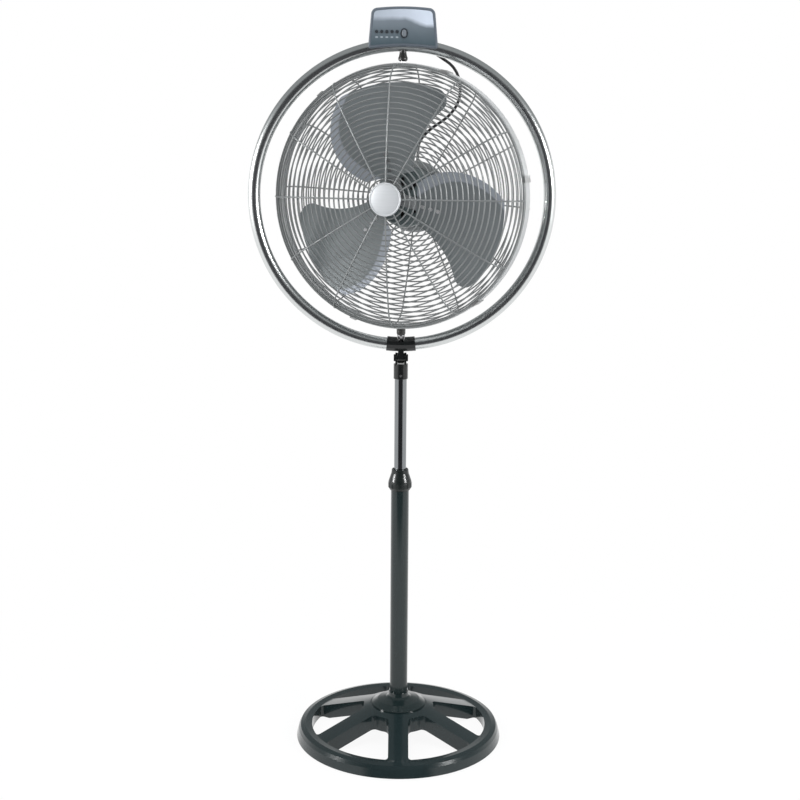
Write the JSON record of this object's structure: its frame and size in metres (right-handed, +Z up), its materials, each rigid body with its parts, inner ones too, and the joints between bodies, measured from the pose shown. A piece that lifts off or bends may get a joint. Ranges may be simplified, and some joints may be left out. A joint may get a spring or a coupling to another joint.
{
  "type": "convertible pedestal fan",
  "caption": "Pedestal fan with a guarded three-paddle head swinging inside a chromed ring, a control box on top, a telescopic pole and a round spoked base.",
  "frame": {"origin": "on the floor under the pole's axis", "axes": "+Z up the pole, -Y the way the control panel faces, +X to the viewer's right"},
  "size_m": [0.626, 0.444, 1.534],
  "materials": {
    "cast_base": "glossy dark green-black paint",
    "painted_steel": "glossy dark green-black paint",
    "neck_paint": "satin black paint",
    "chrome": "bright chrome plate",
    "wire": "grey paint",
    "blade": "satin grey paint",
    "badge": "brushed",
    "zinc_steel": "zinc plated",
    "bare_steel": "ground",
    "motor_paint": "satin grey-green paint",
    "laminations": "varnished sheet stack",
    "dark_plastic": "fine grain",
    "shell": "slate grey, fine grain",
    "panel": "satin slate grey",
    "key_plastic": "smooth",
    "light_key": "smooth",
    "board": "circuit board",
    "rubber": "matt"
  },
  "bodies": {
    "stand": {"base_wheel": "cast_base", "rubber_feet": "rubber", "pole_foot": "painted_steel", "foot_bolts": "zinc_steel", "pole_boot": "painted_steel", "lower_tube": "painted_steel", "height_collet": "dark_plastic"},
    "height_nut": {"height_nut": "dark_plastic"},
    "mast": {"inner_tube": "chrome", "tube_bush": "dark_plastic", "pole_socket": "neck_paint", "socket_screws": "bare_steel", "tilt_bolt": "zinc_steel", "tilt_nut": "zinc_steel"},
    "ring": {"tilt_washers": "dark_plastic", "ring_tee": "neck_paint", "ring_tube": "chrome", "lower_pivot_stud": "bare_steel", "upper_pivot_bush": "dark_plastic", "bush_nut": "zinc_steel", "box_plate": "zinc_steel", "swing_motor": "zinc_steel", "box_front": "shell", "box_back": "shell", "box_screws": "zinc_steel", "face_panel": "panel", "button_bezel": "key_plastic", "circuit_board": "board", "mains_gland": "rubber", "lead_gland": "rubber", "motor_lead": "rubber"},
    "swing_pinion": {"swing_pinion": "dark_plastic"},
    "head": {"guard_hoop": "wire", "front_guard": "wire", "rear_guard": "wire", "guard_clips": "zinc_steel", "badge": "badge", "swing_sector": "dark_plastic", "upper_pivot_shaft": "bare_steel", "lower_pivot_bush": "dark_plastic", "motor_plate": "wire", "motor_front_bell": "motor_paint", "motor_rear_bell": "motor_paint", "motor_stator": "laminations", "motor_bolts": "zinc_steel", "motor_bearings": "bare_steel", "rear_cap": "dark_plastic", "head_gland": "rubber"},
    "rotor": {"rotor_shaft": "bare_steel", "rotor_core": "laminations", "fan_hub": "zinc_steel", "fan_blades": "blade", "blade_rivets": "bare_steel", "hub_nut": "zinc_steel"},
    "speed_key_1": {"speed_key_1": "key_plastic"},
    "speed_key_2": {"speed_key_2": "key_plastic"},
    "speed_key_3": {"speed_key_3": "key_plastic"},
    "speed_key_4": {"speed_key_4": "key_plastic"},
    "speed_key_5": {"speed_key_5": "key_plastic"},
    "power_key": {"power_key": "light_key"}
  },
  "joints": [
    {"name": "height_slide", "type": "slide", "parent": "stand", "child": "mast", "axis": [0, 0, 1], "range_m": [-0.18, 0.16]},
    {"name": "height_nut_turn", "type": "hinge", "parent": "stand", "child": "height_nut", "pos_m": [0, 0, 0.575], "axis": [0, 0, 1], "range_deg": [-90, 0]},
    {"name": "ring_tilt", "type": "hinge", "parent": "mast", "child": "ring", "pos_m": [0, 0, 0.834], "axis": [1, 0, 0], "range_deg": [-20, 30]},
    {"name": "head_swing", "type": "hinge", "parent": "ring", "child": "head", "pos_m": [0, 0, 0.882], "axis": [0, 0, 1], "range_deg": [-21, 59], "deforming": ["motor_lead"]},
    {"name": "swing_pinion_turn", "type": "hinge", "parent": "ring", "child": "swing_pinion", "pos_m": [0.03, 0, 1.489], "axis": [0, 0, 1], "range_deg": [-236, 84]},
    {"name": "rotor_spin", "type": "hinge", "parent": "head", "child": "rotor", "pos_m": [0, 0, 1.163], "axis": [-0.3256, -0.9455, 0], "continuous": true},
    {"name": "speed_key_1_press", "type": "slide", "parent": "ring", "child": "speed_key_1", "axis": [0, 1, 0], "range_m": [0, 0.0012], "stiffness_N_per_m": 1200, "springref_m": -0.0006},
    {"name": "speed_key_2_press", "type": "slide", "parent": "ring", "child": "speed_key_2", "axis": [0, 1, 0], "range_m": [0, 0.0012], "stiffness_N_per_m": 1200, "springref_m": -0.0006},
    {"name": "speed_key_3_press", "type": "slide", "parent": "ring", "child": "speed_key_3", "axis": [0, 1, 0], "range_m": [0, 0.0012], "stiffness_N_per_m": 1200, "springref_m": -0.0006},
    {"name": "speed_key_4_press", "type": "slide", "parent": "ring", "child": "speed_key_4", "axis": [0, 1, 0], "range_m": [0, 0.0012], "stiffness_N_per_m": 1200, "springref_m": -0.0006},
    {"name": "speed_key_5_press", "type": "slide", "parent": "ring", "child": "speed_key_5", "axis": [0, 1, 0], "range_m": [0, 0.0012], "stiffness_N_per_m": 1200, "springref_m": -0.0006},
    {"name": "power_key_press", "type": "slide", "parent": "ring", "child": "power_key", "axis": [0, 1, 0], "range_m": [0, 0.0012], "stiffness_N_per_m": 1200, "springref_m": -0.0006}
  ],
  "couplings": [
    {"joint": "swing_pinion_turn", "follows": "head_swing", "ratio": -4}
  ]
}
